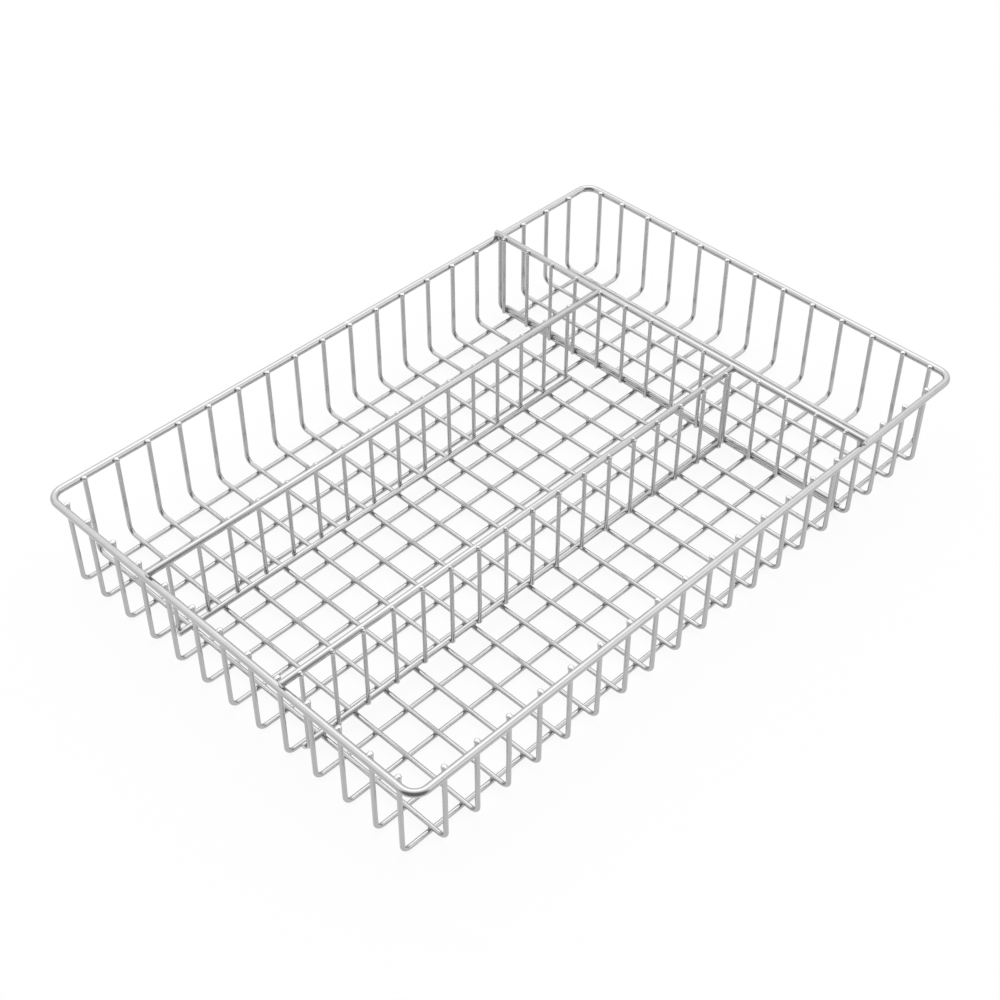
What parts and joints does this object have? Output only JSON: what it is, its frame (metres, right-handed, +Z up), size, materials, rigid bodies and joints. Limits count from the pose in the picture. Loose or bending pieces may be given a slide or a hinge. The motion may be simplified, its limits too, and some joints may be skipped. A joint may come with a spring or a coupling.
{
  "type": "drawer organizer",
  "caption": "Shallow oblong tray of welded steel wire with a heavier rim, divided by wire grilles into long compartments side by side and one across the end, for sorting things in a drawer.",
  "frame": {"origin": "on the surface that the tray stands on, under the middle of the rim's outline", "axes": "+Z up; +X along the length, towards the compartment behind the cross divider; +Y to the back long side"},
  "size_m": [0.4, 0.269, 0.0595],
  "materials": {
    "steel_wire": "bright satin plated steel wire"
  },
  "bodies": {
    "root": {"rim": "steel_wire", "long_wire_01": "steel_wire", "long_wire_02": "steel_wire", "long_wire_03": "steel_wire", "long_wire_04": "steel_wire", "long_wire_05": "steel_wire", "long_wire_06": "steel_wire", "long_wire_07": "steel_wire", "long_wire_08": "steel_wire", "long_wire_09": "steel_wire", "long_wire_10": "steel_wire", "long_wire_11": "steel_wire", "long_wire_12": "steel_wire", "long_wire_13": "steel_wire", "cross_wire_01": "steel_wire", "cross_wire_02": "steel_wire", "cross_wire_03": "steel_wire", "cross_wire_04": "steel_wire", "cross_wire_05": "steel_wire", "cross_wire_06": "steel_wire", "cross_wire_07": "steel_wire", "cross_wire_08": "steel_wire", "cross_wire_09": "steel_wire", "cross_wire_10": "steel_wire", "cross_wire_11": "steel_wire", "cross_wire_12": "steel_wire", "cross_wire_13": "steel_wire", "cross_wire_14": "steel_wire", "cross_wire_15": "steel_wire", "cross_wire_16": "steel_wire", "cross_wire_17": "steel_wire", "cross_wire_18": "steel_wire", "cross_wire_19": "steel_wire", "cross_divider_bottom_rail": "steel_wire", "cross_divider_top_rail": "steel_wire", "cross_divider_upright_01": "steel_wire", "cross_divider_upright_02": "steel_wire", "cross_divider_upright_03": "steel_wire", "cross_divider_upright_04": "steel_wire", "cross_divider_upright_05": "steel_wire", "cross_divider_upright_06": "steel_wire", "cross_divider_upright_07": "steel_wire", "cross_divider_upright_08": "steel_wire", "cross_divider_upright_09": "steel_wire", "cross_divider_upright_10": "steel_wire", "cross_divider_upright_11": "steel_wire", "cross_divider_upright_12": "steel_wire", "cross_divider_upright_13": "steel_wire", "cross_divider_upright_14": "steel_wire", "front_divider_comb": "steel_wire", "front_divider_top_rail": "steel_wire", "back_divider_comb": "steel_wire", "back_divider_top_rail": "steel_wire"}
  },
  "joints": []
}
